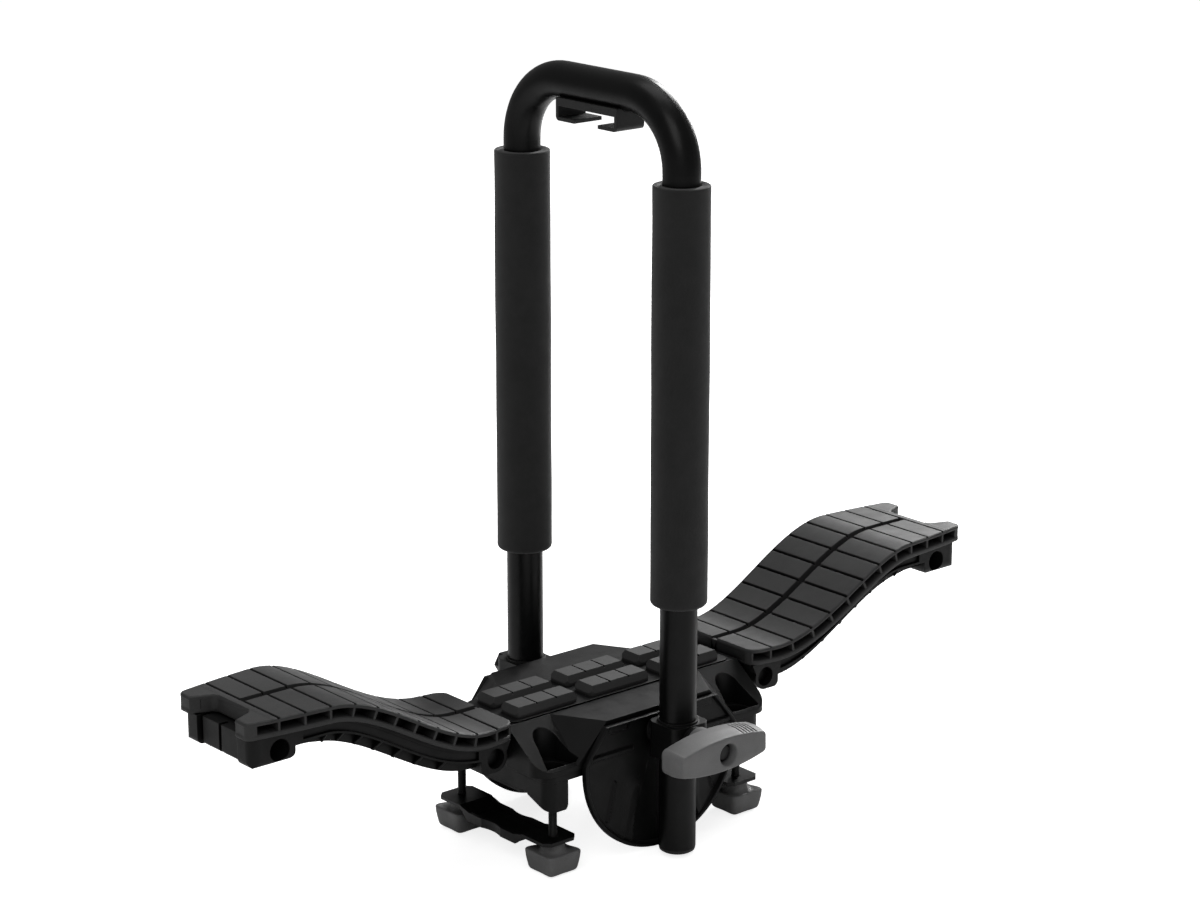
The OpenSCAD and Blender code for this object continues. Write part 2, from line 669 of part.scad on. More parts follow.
base_housing();
top_cover();
cover_screws();
top_pads();
crossbar_pad();
front_shield();
rear_shield();
clamp_bolts();
hinge_pins();
pin_retainers();
pivot_shaft();
shaft_bushes();
friction_discs();
shaft_nut();
front_collar();
rear_collar();
upright_tube();
front_foam_sleeve();
rear_foam_sleeve();
tube_plugs();
strap_guide();
guide_rivets();
thrust_washer();
tee_handle();
handle_insert();
left_wing_frame();
left_wing_pad();
right_wing_frame();
right_wing_pad();
left_clamp_strap();
right_clamp_strap();
front_left_knob();
front_left_knob_nut();
rear_left_knob();
rear_left_knob_nut();
front_right_knob();
front_right_knob_nut();
rear_right_knob();
rear_right_knob_nut();
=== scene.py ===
"""Looks of the folding roof boat carrier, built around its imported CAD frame."""
import json
import math

import bmesh
import bpy
import numpy as np
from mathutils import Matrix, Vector


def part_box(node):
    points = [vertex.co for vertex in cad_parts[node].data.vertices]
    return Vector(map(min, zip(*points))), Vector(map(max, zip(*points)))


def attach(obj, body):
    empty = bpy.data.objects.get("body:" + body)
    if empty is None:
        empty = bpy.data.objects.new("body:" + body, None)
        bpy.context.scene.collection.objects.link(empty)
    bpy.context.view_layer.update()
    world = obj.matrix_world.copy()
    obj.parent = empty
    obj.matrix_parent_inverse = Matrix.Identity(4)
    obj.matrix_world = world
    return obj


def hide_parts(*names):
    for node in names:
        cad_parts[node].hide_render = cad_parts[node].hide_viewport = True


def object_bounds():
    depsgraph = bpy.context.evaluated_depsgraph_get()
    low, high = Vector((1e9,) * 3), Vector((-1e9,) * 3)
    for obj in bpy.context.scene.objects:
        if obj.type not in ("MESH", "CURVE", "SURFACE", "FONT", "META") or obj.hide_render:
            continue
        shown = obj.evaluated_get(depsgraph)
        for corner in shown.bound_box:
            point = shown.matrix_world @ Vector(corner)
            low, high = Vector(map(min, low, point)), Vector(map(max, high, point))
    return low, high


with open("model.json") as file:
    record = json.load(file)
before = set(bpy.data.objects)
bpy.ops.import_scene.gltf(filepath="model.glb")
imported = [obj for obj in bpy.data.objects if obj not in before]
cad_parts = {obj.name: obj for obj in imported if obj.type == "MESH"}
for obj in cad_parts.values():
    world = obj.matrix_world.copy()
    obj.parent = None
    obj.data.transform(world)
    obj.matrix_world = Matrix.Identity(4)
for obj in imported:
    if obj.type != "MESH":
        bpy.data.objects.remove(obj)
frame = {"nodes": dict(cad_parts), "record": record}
cad_low, cad_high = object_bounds()

MM = 0.001
SHAFT_Z = 33.0  # height of the pivot shaft over the crossbar, in millimetres like every size below


# ---------------------------------------------------------------- node materials

class Shader:
    """A short way to write a node tree."""

    def __init__(self, name):
        self.mat = bpy.data.materials.new(name)
        self.mat.use_nodes = True
        self.tree = self.mat.node_tree
        self.bsdf = self.tree.nodes["Principled BSDF"]
        self.coords = self.tree.nodes.new("ShaderNodeTexCoord").outputs["Object"]

    def node(self, kind, inputs=None, **settings):
        made = self.tree.nodes.new(kind)
        for key, value in settings.items():
            setattr(made, key, value)
        for key, value in (inputs or {}).items():
            if isinstance(value, bpy.types.NodeSocket):
                self.tree.links.new(value, made.inputs[key])
            else:
                made.inputs[key].default_value = value
        return made

    def noise(self, scale, detail=3.0, stretch=(1, 1, 1), rough=0.5):
        spot = self.node("ShaderNodeMapping", {"Vector": self.coords, "Scale": stretch})
        return self.node("ShaderNodeTexNoise", {
            "Vector": spot.outputs["Vector"], "Scale": scale,
            "Detail": detail, "Roughness": rough}).outputs["Fac"]

    def spread(self, value, low, high, start=0.3, end=0.7):
        return self.node("ShaderNodeMapRange", {
            "Value": value, "From Min": start, "From Max": end,
            "To Min": low, "To Max": high}).outputs["Result"]

    def math(self, kind, a, b=0.0):
        return self.node("ShaderNodeMath", {0: a, 1: b}, operation=kind).outputs[0]

    def blend(self, factor, a, b):
        mix = self.node("ShaderNodeMix", {"Factor": factor}, data_type="RGBA")
        for socket, value in ((mix.inputs[6], a), (mix.inputs[7], b)):
            if isinstance(value, bpy.types.NodeSocket):
                self.tree.links.new(value, socket)
            else:
                socket.default_value = value
        return mix.outputs[2]

    def scaled(self, colour, factor):
        made = self.node("ShaderNodeVectorMath", {0: colour, "Scale": factor}, operation="SCALE")
        return made.outputs["Vector"]

    def set(self, name, value):
        if isinstance(value, bpy.types.NodeSocket):
            self.tree.links.new(value, self.bsdf.inputs[name])
        else:
            self.bsdf.inputs[name].default_value = value


def grey(level, warm=0.0):
    """A neutral colour, or a slightly yellow one if warm."""
    return (level * (1 + warm), level, level * (1 - warm * 0.6), 1.0)


def surface(name, level, rough, grain, rounding=0.5, edge_wear_and_highlight=0.35, streak=None, sheen=0.0, metallic=0.0,
            specular=0.5, warm=0.0, painted_shade_reach=0.0):
    """A moulded, painted or rubbery surface: grain in the bump, rounded edges made paler, partly as wear and
    partly as a painted highlight, soft mottling, and painted shade in slots where a reach for it is given.

    The grain is a noise scale and a height in millimetres, the streak a noise scale, its stretch and weight.
    The rounding and the painted shade reach are in millimetres too: painted shade darkens the colour, and
    dims the specular, in slots narrower than about that."""
    s = Shader(name)
    grain_scale, grain_height = grain
    mottle = 0.12
    large = s.noise(38, 4)
    fine = s.noise(grain_scale, 2, rough=0.65)
    soft = s.node("ShaderNodeBevel", {"Radius": rounding * MM}, samples=6)
    flat = s.node("ShaderNodeNewGeometry").outputs["Normal"]
    turned = s.node("ShaderNodeVectorMath", {0: soft.outputs["Normal"], 1: flat}, operation="DOT_PRODUCT")
    edge = s.spread(turned.outputs["Value"], 1.0, 0.0, 0.72, 0.985)
    darker, paler = grey(level * (1 - mottle), warm), grey(level * (1 + mottle), warm)
    base = s.blend(s.spread(large, 0.0, 1.0), darker, paler)
    speck = s.spread(fine, 0.88, 1.12)
    base = s.scaled(base, speck)
    # paler edges: partly edge wear, partly a painted highlight along the rounded edges
    worn_and_highlit_edge = s.math("MULTIPLY", edge, s.spread(s.noise(240, 3), 0.35 * edge_wear_and_highlight, edge_wear_and_highlight))
    base = s.blend(worn_and_highlit_edge, base, grey(min(0.9, level * 2.2 + 0.012), warm))
    shine = specular
    # painted shade: ambient occlusion darkens the colour and dims the specular in slots and recesses, where
    # shade falls
    if painted_shade_reach:
        near = s.node("ShaderNodeAmbientOcclusion", {"Distance": painted_shade_reach * MM}, samples=8)
        painted_shade_factor = s.spread(near.outputs["AO"], 0.12, 1.0, 0.25, 0.75)
        base = s.scaled(base, painted_shade_factor)
        shine = s.math("MULTIPLY", painted_shade_factor, specular)
    s.set("Base Color", base)
    height = fine
    if streak:
        scale, stretch, weight = streak
        lines = s.noise(scale, 3, stretch=stretch)
        height = s.math("ADD", fine, s.math("MULTIPLY", lines, weight))
    rough_map = s.spread(s.noise(90, 4), rough - 0.05, rough + 0.06)
    s.set("Roughness", s.math("SUBTRACT", rough_map, s.math("MULTIPLY", worn_and_highlit_edge, 0.08)))
    bump = s.node("ShaderNodeBump", {
        "Height": height, "Distance": grain_height * MM, "Strength": 1.0, "Normal": soft.outputs["Normal"]})
    s.set("Normal", bump.outputs["Normal"])
    s.set("Metallic", metallic)
    s.set("Specular IOR Level", shine)
    if sheen:
        s.set("Sheen Weight", sheen)
        s.set("Sheen Roughness", 0.6)
    return s.mat


# a painted shade reach, where set, puts painted shade into that material's slots and recesses
MATERIALS = {
    "moulded_nylon": surface("moulded_nylon", 0.0032, 0.44, (2400, 0.03), specular=0.20, painted_shade_reach=9.0),
    "collar_nylon": surface("collar_nylon", 0.0030, 0.42, (2600, 0.025), specular=0.24),
    "wing_nylon": surface("wing_nylon", 0.0042, 0.46, (2400, 0.03), specular=0.22, painted_shade_reach=7.0),
    "pad_rubber": surface("pad_rubber", 0.029, 0.58, (1500, 0.05), streak=(420, (1, 6, 6), 0.9),
                          specular=0.42, painted_shade_reach=5.0),
    "seat_rubber": surface("seat_rubber", 0.012, 0.75, (1200, 0.05)),
    "foam": surface("foam", 0.010, 0.80, (1700, 0.10), edge_wear_and_highlight=0.1, sheen=0.13, rounding=0.8, specular=0.3),
    "tube_coating": surface("tube_coating", 0.0022, 0.34, (900, 0.002), edge_wear_and_highlight=0.05, specular=0.22),
    "plug_plastic": surface("plug_plastic", 0.008, 0.45, (2600, 0.03)),
    "black_steel": surface("black_steel", 0.003, 0.38, (1700, 0.015), edge_wear_and_highlight=0.25, specular=0.35, painted_shade_reach=9.0),
    "zinc_steel": surface("zinc_steel", 0.40, 0.34, (900, 0.01), metallic=1.0, edge_wear_and_highlight=0.1),
    "bush_plastic": surface("bush_plastic", 0.5, 0.5, (1800, 0.02), warm=0.06),
    "handle_plastic": surface("handle_plastic", 0.150, 0.52, (2000, 0.05), edge_wear_and_highlight=0.06, specular=0.35,
                              painted_shade_reach=3.0),
    "knob_plastic": surface("knob_plastic", 0.140, 0.50, (2000, 0.05), edge_wear_and_highlight=0.25, specular=0.4),
}
SLOT_OF = {entry["node"]: entry["material_slot"] for entry in frame["record"]["subparts"]}
for node, obj in frame["nodes"].items():
    obj.data.materials.clear()
    obj.data.materials.append(MATERIALS[SLOT_OF[node]])

# ---------------------------------------------------------------- mesh helpers (millimetres in, metres out)

def add_piece(name, points, faces, slot, body, *nodes, flat=False):
    """A mesh piece from points in millimetres, riding on a body and standing for CAD nodes."""
    mesh = bpy.data.meshes.new(name)
    mesh.from_pydata([tuple(p) for p in np.asarray(points, float) * MM], [], faces)
    mesh.materials.append(MATERIALS[slot])
    shape = bmesh.new()
    shape.from_mesh(mesh)
    bmesh.ops.recalc_face_normals(shape, faces=shape.faces)
    shape.to_mesh(mesh)
    shape.free()
    for polygon in mesh.polygons:
        polygon.use_smooth = not flat
    obj = bpy.data.objects.new(name, mesh)
    bpy.context.scene.collection.objects.link(obj)
    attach(obj, body)
    if nodes:
        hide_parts(*nodes)
    return obj


def loft(rings, capped=True):
    """Closed rings of equally many points joined by quads, with a face across each end if capped."""
    count = len(rings[0])
    faces = []
    for i in range(len(rings) - 1):
        for j in range(count):
            k = (j + 1) % count
            faces.append((i * count + j, i * count + k, (i + 1) * count + k, (i + 1) * count + j))
    if capped:
        faces.append(tuple(range(count)))
        faces.append(tuple(range((len(rings) - 1) * count, len(rings) * count)))
    return np.concatenate(rings), faces


def join(*parts):
    """Several (points, faces) pairs as one."""
    points, faces, base = [], [], 0
    for part_points, part_faces in parts:
        points.append(np.asarray(part_points, float))
        faces += [tuple(base + index for index in face) for face in part_faces]
        base += len(part_points)
    return np.concatenate(points), faces


def turned(profile, count, place, axis="z", ripple=None):
    """A profile of (radius, height) turned about the z or y axis through place. A ripple moves the radius."""
    angles = np.linspace(0, 2 * math.pi, count, endpoint=False)
    rings = []
    for radius, height in profile:
        r = radius + (ripple(angles, height) * radius if ripple else 0)
        a, b, c = r * np.cos(angles), r * np.sin(angles), np.full(count, height)
        ring = np.stack((a, b, c) if axis == "z" else (a, c, b), axis=1)
        rings.append(ring + np.array(place))
    return rings


def quarter(r, steps):
    """A quarter round as (run, drop) pairs: level at first, upright at the end."""
    return [(r * math.sin(t), r * (1 - math.cos(t))) for t in np.linspace(0, math.pi / 2, steps)]


def node_box(node):
    """The corners of a CAD node's box in millimetres."""
    low_corner, high_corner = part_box(node)
    return np.array(low_corner) / MM, np.array(high_corner) / MM


# ---------------------------------------------------------------- foam sleeves

def foam_sleeve(name, node):
    """A cut length of soft foam tube: rounded ends, slightly uneven along its length."""
    low_corner, high_corner = node_box(node)
    centre = (low_corner + high_corner) / 2
    slack, wall, foot_r, head_r = 0.2, 6.2, 3.2, 1.0
    r = (high_corner[0] - low_corner[0]) / 2 - slack
    inner = r - wall
    bottom, top = low_corner[2], high_corner[2]

    def ripple(angle, height):
        return (0.0045 * np.sin(2 * angle + height / 31) + 0.003 * np.sin(3 * angle - height / 17 + 1)
                + 0.003 * math.sin(height / 23) + 0.002 * math.sin(height / 9.5 + 2))

    foot = [(r - foot_r + run, bottom + drop) for run, drop in quarter(foot_r, 7)]
    head = [(r - head_r + run, top - drop) for run, drop in reversed(quarter(head_r, 5))]
    middle = [(r, z) for z in np.linspace(bottom + foot_r, top - head_r, 110)[1:-1]]
    profile = [(inner, bottom + 2.5), (inner + 0.4, bottom + 0.4)] + foot + middle + head + [
        (inner + 0.4, top), (inner, top - 1.5)]
    rings = turned(profile, 128, (centre[0], centre[1], 0), ripple=ripple)
    points, faces = loft(rings + [rings[0]], capped=False)
    return add_piece(name, points, faces, "foam", "upright", node)


foam_sleeve("front_foam_form", "front_foam_sleeve")
foam_sleeve("rear_foam_form", "rear_foam_sleeve")


# ---------------------------------------------------------------- tee handle

def lens_inside(x, z, half_l, half_h, end_h, corner):
    """True where points lie inside a bowed bar with rounded corners."""
    rise = half_h - end_h
    bow = (half_l ** 2 + rise ** 2) / (2 * rise)

    def edge(at):
        return half_h - bow + np.sqrt(np.maximum(0, bow ** 2 - at ** 2))

    x, z = np.abs(x), np.abs(z)
    over = np.clip(x - (half_l - corner), 0, corner)
    rounded = edge(half_l - corner) - corner + np.sqrt(corner ** 2 - over ** 2)
    return (x < half_l) & (z <= np.where(over > 0, rounded, edge(x)))


def lens_reach(angles, half_l, half_h, end_h, corner):
    """Distance from the middle of the bar to its outline, found by halving."""
    near, far = np.zeros(len(angles)), np.full(len(angles), half_l + half_h)
    for _ in range(24):
        middle = (near + far) / 2
        inside = lens_inside(middle * np.cos(angles), middle * np.sin(angles), half_l, half_h, end_h, corner)
        near, far = np.where(inside, middle, near), np.where(inside, far, middle)
    return near


def even_angles(shape, count):
    """Angles that divide an outline into equal lengths."""
    dense = np.linspace(0, 2 * math.pi, 1440)
    reach = lens_reach(dense, *shape)
    x, z = reach * np.cos(dense), reach * np.sin(dense)
    length = np.concatenate([[0], np.cumsum(np.hypot(np.diff(x), np.diff(z)))])
    return np.interp(np.linspace(0, length[-1], count, endpoint=False), length, dense)


def tee_handle():
    """A bowed bar with a bevelled face, finger grooves on one end and a hub around the shaft."""
    low_corner, high_corner = node_box("tee_handle")
    front, back, hub_end = low_corner[1], -112.0, high_corner[1]
    half_l, half_h, end_h, end_r = (high_corner[0] - low_corner[0]) / 2 - 0.2, 13.4, 7.8, 4.0
    centre = np.array([(low_corner[0] + high_corner[0]) / 2, 0, SHAFT_Z + 0.7])
    tilt = math.radians(1.2)
    angles = even_angles((half_l, half_h, end_h, end_r), 840)
    groove_from, groove_step, groove_count, groove_deep = 16.0, 3.1, 5, 1.9
    bore_r, bevel, crown, back_r = 7.55, 1.9, 11.4, 2.6

    def ring(y, inset_x, inset_z, corner, grip=0.0):
        shape = (half_l - inset_x, half_h - inset_z, end_h - inset_z * 0.6, corner)
        reach = lens_reach(angles, *shape)
        x, z = reach * np.cos(angles), reach * np.sin(angles)
        across = (x - groove_from) / groove_step
        inside = (across > 0) & (across < groove_count) & (z > 0)
        notch = np.clip(1.5 * np.cos(2 * math.pi * (across - 0.5)) - 0.5, 0, 1)
        z = z - grip * groove_deep * notch * inside
        return np.stack([x * math.cos(tilt) - z * math.sin(tilt), np.full(len(x), y),
                         x * math.sin(tilt) + z * math.cos(tilt)], axis=1) + centre

    def circle(y, r):
        return np.stack([r * np.cos(angles), np.full(len(angles), y), r * np.sin(angles) + SHAFT_Z], axis=1)

    rings = [circle(front + 9.0, bore_r), circle(front + 0.9, bore_r), circle(front + 0.35, bore_r + 0.35),
             circle(front, bore_r + 1.05)]
    # front face, its bevelled rim, the crowned body and the rounded back
    rings += [ring(front, 3.6, 3.2, 3.0), ring(front + 0.15, 2.7, 2.5, 3.2),
              ring(front + 0.6, bevel, bevel, 3.4)]
    for step in np.linspace(0, 1, 25)[1:]:
        inset = bevel * (1 - math.sin(step * math.pi / 2))
        rings.append(ring(front + 0.6 + crown * step, inset, inset, 3.4 + 0.6 * step, min(1.0, step * 3)))
    for step in np.linspace(0, 1, 13)[1:]:
        rings.append(ring(front + 12 + 6.0 * step, 0.3 * step, 0.2 * step, end_r, 1 - step))
    for run, drop in quarter(back_r, 6)[1:]:
        rings.append(ring(back - back_r + run, 0.3 + drop, 0.2 + drop, end_r))
    # hub that carries the insert, waisted towards the washer
    hub_r, mouth_r = 10.6, 7.1
    rings += [circle(back, 12.4), circle(back + 0.8, 11.4), circle(back + 2.4, hub_r),
              circle(hub_end - 1.0, hub_r), circle(hub_end, hub_r - 0.7),
              circle(hub_end, mouth_r), circle(hub_end - 4.0, mouth_r - 0.1)]
    rings += [circle(back - 2.2, bore_r - 0.05), rings[0]]
    points, faces = loft(rings, capped=False)
    return add_piece("tee_handle_form", points, faces, "handle_plastic", "tee", "tee_handle")


tee_handle()


# ---------------------------------------------------------------- clamp knobs

def knob(name, node, body):
    """A square knob with hollow sides, flared upper edge, round neck and open foot."""
    low_corner, high_corner = node_box(node)
    centre = (low_corner + high_corner) / 2
    half = (high_corner[0] - low_corner[0]) / 2 - 0.1
    foot, head = low_corner[2], high_corner[2]
    rim = foot + 15.0
    angles = np.linspace(0, 2 * math.pi, 144, endpoint=False)
    c, s = np.abs(np.cos(angles)), np.abs(np.sin(angles))
    square = 1 / (c ** 9 + s ** 9) ** (1 / 9)
    hollow = np.cos(2 * angles) ** 2

    def ring(z, inset, dish, lift=0.0):
        reach = (half - inset) * square * (1 - dish * hollow)
        corner_lift = lift * (1 - hollow)
        return np.stack([centre[0] + reach * np.cos(angles), centre[1] + reach * np.sin(angles),
                         z + corner_lift], axis=1)

    def circle(z, r):
        return np.stack([centre[0] + r * np.cos(angles), centre[1] + r * np.sin(angles),
                         np.full(len(angles), z)], axis=1)

    neck = 8.4
    rings = [circle(head, 6.1), circle(head, neck - 0.5), circle(head - 0.5, neck), circle(rim + 1.4, neck),
             circle(rim + 0.2, neck + 0.5), circle(rim - 0.6, neck + 1.6)]
    rings += [ring(rim - 1.3, 3.6, 0.10, 0.5), ring(rim - 0.75, 1.3, 0.085, 0.7),
              ring(rim - 0.8, 0.5, 0.08, 0.75), ring(rim - 1.2, 0.1, 0.077, 0.7),
              ring(rim - 1.9, 0.0, 0.075, 0.5), ring(rim - 3.2, 0.15, 0.075, 0.2)]
    for step in np.linspace(0, 1, 8)[1:]:
        rings.append(ring(rim - 3.2 - 9.3 * step, 0.15 + 1.5 * step ** 1.3, 0.075 - 0.03 * step))
    rings += [ring(foot + 1.6, 1.95, 0.04), ring(foot + 0.8, 2.45, 0.035), ring(foot + 0.25, 3.2, 0.03),
              ring(foot, 4.2, 0.02)]
    rings += [circle(foot, 4.9), circle(foot + 0.7, 4.1), circle(rim - 8.2, 4.0), circle(rim - 8.0, 6.0),
              circle(head, 6.1)]
    points, faces = loft(rings, capped=False)
    return add_piece(name, points, faces, "knob_plastic", body, node)


for place in ("front_left", "rear_left", "front_right", "rear_right"):
    knob(f"{place}_knob_form", f"{place}_knob", f"{place}_turn")


# ---------------------------------------------------------------- wings

# The pads follow the same curve as their frames: the driving sizes are the part's own, in millimetres
PAD_LOW, PAD_RISE, PAD_T = 55.7, 50.6, 12.0
PAD_IN, PAD_OUT, NOTCH_X = 107.0, 320.0, 304.0
FIRST_CELL, HALF_PITCH, GROOVES = 115.1, 9.2, 11
FLANGE_T, WEB_Y, KNUCKLE_Y, CORE_IN = 22.0, 31.0, 38.0, 13.5
# the pad is a top skin and a lower lip, as depths under its face, with a solid core between two depths
SKIN, LIP_TOP, CORE_TOP, CORE_LOW = 2.9, 8.4, 1.5, 10.6
CORE_SLACK, CORE_EDGE = 0.3, 0.3


def pad_top(x):
    """Height of the pad's face: low by the base, then a smooth rise to the tip."""
    t = np.clip((np.asarray(x, float) - 128) / 132, 0, 1)
    return PAD_LOW + PAD_RISE * t * t * (3 - 2 * t)


def pad_slope(x):
    """Rise of the pad's face over one millimetre."""
    return pad_top(x + 0.5) - pad_top(x - 0.5)


def round_off(d, r):
    """How far a corner of radius r has drawn in at a distance d from its end."""
    d = np.clip(d, 0, r)
    return r - np.sqrt(np.maximum(0, r * r - (r - d) ** 2))


def pad_half(x):
    """Half width of the pad: a barrel with both ends rounded off."""
    widest, widest_x = 48, 211.3
    barrel = widest - 6 * ((x - widest_x) / 87) ** 2
    return barrel - round_off(x - PAD_IN, 9) - round_off(PAD_OUT - x, 5)


def stations():
    """Places along the pad: even ones are cell middles, odd ones are grooves."""
    found = [FIRST_CELL]
    while len(found) < 2 * GROOVES + 1:
        at = found[-1]
        found.append(at + HALF_PITCH / math.sqrt(1 + float(pad_slope(at + HALF_PITCH / 2)) ** 2))
    return found


STATIONS = stations()


def under_face(x, depth):
    """The point a depth under the pad's face, square to it."""
    lean = pad_slope(x)
    size = np.sqrt(1 + lean ** 2)
    return x + depth * lean / size, pad_top(x) - depth / size


# grooves of the pad: depth and half width of those across it, then of the one along its middle
GROOVE_DEEP, GROOVE_X = 2.5, 0.8
MIDDLE_DEEP, MIDDLE_Y, MIDDLE_EDGE = 7.6, 2.5, 0.4


def section(x, y0, y1, top, bottom, edge_r, relief=None):
    """One closed cross-section between two widths and two depths, with rounded edges."""
    r = min(edge_r, (bottom - top) / 2, (y1 - y0) / 2.2)
    low_r = min(0.8, (bottom - top) / 3, (y1 - y0) / 3)
    edge = [(r - r * math.sin(a), top + r - r * math.cos(a)) for a in np.linspace(0.2, math.pi / 2, 6)]
    edge += [(low_r - low_r * math.cos(a), bottom - low_r + low_r * math.sin(a))
             for a in np.linspace(0, math.pi / 2, 4)]
    across = np.linspace(y0 + r, y1 - r, 61)
    if relief is not None and y0 < -MIDDLE_Y < MIDDLE_Y < y1:
        lip = MIDDLE_Y + MIDDLE_EDGE
        across = np.concatenate([np.linspace(y0 + r, -lip, 28), np.linspace(-MIDDLE_Y, MIDDLE_Y, 5),
                                 np.linspace(lip, y1 - r, 28)])
    rows = [(y, top) for y in across]
    rows += [(y1 - inset, depth) for inset, depth in edge]
    rows += [(y, bottom) for y in np.linspace(y1 - low_r, y0 + low_r, 21)[1:-1]]
    rows += [(y0 + inset, depth) for inset, depth in reversed(edge)]
    points = []
    for y, depth in rows:
        if relief is not None:
            sunk = relief(x, y, float(pad_half(x)))
            depth = depth + sunk if depth <= top + 0.3 else max(depth, min(top, 1.0) + sunk + 0.6)
        px, pz = under_face(x, depth)
        points.append((px, y, pz))
    return np.array(points)


def groove_relief(x, y, half):
    """Depth of the grooves across the pad and of the groove along its middle."""
    nearest = min(abs(x - groove) for groove in STATIONS[1::2])
    run_out = min(1.0, max(0.0, (half - abs(y) - 0.2) / 0.8))
    depth = GROOVE_DEEP * math.exp(-(nearest / GROOVE_X) ** 6) * run_out
    middle_end = STATIONS[-2] + 0.5
    if x < middle_end:
        across = max(0.0, 1 - max(0.0, abs(y) - MIDDLE_Y) / MIDDLE_EDGE)
        depth = max(depth, MIDDLE_DEEP * across * min(1.0, (middle_end - x) / 0.6))
    return depth


def notch_half(x):
    """Half width of the notch in the tip: it widens outwards from a rounded inner corner."""
    into = max(0.0, x - NOTCH_X)
    inner_half, widening, corner = 19.5, 6.5, 3.0
    return inner_half + widening * into / (PAD_OUT - NOTCH_X) - float(round_off(into, corner))


def layer(top, bottom, edge_r, relief=None, count=170):
    """One layer of the pad between two depths: the body up to the notch, then a finger each side of it."""
    places = set(np.linspace(PAD_IN, NOTCH_X, count))
    if relief:
        beside = (0.4, 0.6, 0.8, 1.1)
        places |= {groove + off for groove in STATIONS[1::2] for near in beside for off in (-near, 0, near)}
    rings = []
    for x in sorted(p for p in places if PAD_IN <= p <= NOTCH_X):
        pull = float(round_off(min(x - PAD_IN, NOTCH_X - x), edge_r))
        half = float(pad_half(x))
        rings.append(section(x, -half, half, top + pull, bottom - min(pull, 0.8), edge_r, relief))
    parts = [loft(rings)]
    for side in (-1, 1):
        rings = []
        for x in np.linspace(NOTCH_X - 2.5, PAD_OUT, 26):
            pull = float(round_off(PAD_OUT - x, edge_r))
            inner, outer = notch_half(x), float(pad_half(x))
            y0, y1 = sorted((side * inner, side * outer))
            rings.append(section(x, y0, y1, top + pull, bottom - min(pull, 0.8), edge_r, relief))
        parts.append(loft(rings))
    return parts


def bent_block(x0, x1, y0, y1, d0, d1):
    """A block between two places, widths and depths under the face, bent along it."""
    rings = []
    for x in np.linspace(x0, x1, 3):
        (ax, az), (bx, bz) = under_face(x, d0), under_face(x, d1)
        rings.append(np.array([(ax, y0, az), (ax, y1, az), (bx, y1, bz), (bx, y0, bz)]))
    return loft(rings)


def flip(points, sign):
    """Points on the right, or with sign -1 their mirror image on the left."""
    return np.asarray(points) * np.array([sign, 1, 1])


def core_ring(x, side, inner, outer):
    """A cross-section of the solid core on one side, between two distances from the middle."""
    y0, y1 = sorted((side * inner, side * outer))
    return section(x, y0, y1, CORE_TOP, CORE_LOW, CORE_EDGE)


def pad_webs():
    """What joins skin and lip: a wall along each side, a closed inner end and a web under each groove."""
    wall_t, wall_top, web_top, web_low = 3.0, 2.5, 2.4, 9.0
    web_half, web_long, web_in = 0.85, 15.0, 0.45
    parts = []
    for side in (-1, 1):
        rings = []
        for x in np.linspace(PAD_IN + 2.0, NOTCH_X - 1.2, 60):
            y = float(pad_half(x)) - CORE_IN
            y0, y1 = sorted((side * y, side * (y - wall_t)))
            rings.append(section(x, y0, y1, wall_top, web_low, 0.4))
        parts.append(loft(rings))
    rings = []
    for x in np.linspace(PAD_IN + CORE_SLACK, PAD_IN + 2.4, 6):
        half = float(pad_half(x)) - CORE_SLACK
        rings.append(core_ring(x, 1, -half, half))
    parts.append(loft(rings))
    for groove in [PAD_IN + 3.2] + STATIONS[1::2]:
        half = float(pad_half(groove)) - web_in
        for y in (-half, half - web_long):
            parts.append(bent_block(groove - web_half, groove + web_half, y, y + web_long, web_top, web_low))
    return parts


def pad_tip():
    """The closed tip past the last cell: a finger each side of the notch, its inner wall, a cross block."""
    last, wall_t, cross_half, set_deeper = STATIONS[-1], 6.0, 20, 0.2
    parts = []
    for side in (-1, 1):
        rings = []
        for x in np.linspace(last + 6.0, PAD_OUT - 0.5, 18):
            inner = notch_half(x) + 0.1 if x > NOTCH_X - 2.5 else 15.0
            rings.append(core_ring(x, side, inner, float(pad_half(x)) - CORE_SLACK))
        parts.append(loft(rings))
        rings = []
        for x in np.linspace(NOTCH_X - 4.0, last + 6.6, 14):
            inner = notch_half(x) + 0.1
            y0, y1 = sorted((side * inner, side * (inner + wall_t)))
            rings.append(section(x, y0, y1, CORE_TOP + set_deeper, CORE_LOW - set_deeper, CORE_EDGE))
        parts.append(loft(rings))
    parts.append(bent_block(NOTCH_X - 4.0, NOTCH_X - 0.1, -cross_half, cross_half, CORE_TOP, CORE_LOW))
    return parts


def wing_pad(name, node, body, sign):
    """Moulded rubber pad: a grooved top skin and a lower lip joined by webs, open along both edges."""
    skin = layer(0.0, SKIN, 1.6, groove_relief)
    lip = layer(LIP_TOP, PAD_T - 0.15, 1.2, count=90)
    points, faces = join(*skin, *lip, *pad_webs(), *pad_tip())
    obj = add_piece(name, flip(points, sign), faces, "pad_rubber", body, node)
    obj.data.set_sharp_from_angle(angle=math.radians(38))
    return obj


wing_pad("left_pad_form", "left_wing_pad", "left_wing", -1)
wing_pad("right_pad_form", "right_wing_pad", "right_wing", 1)


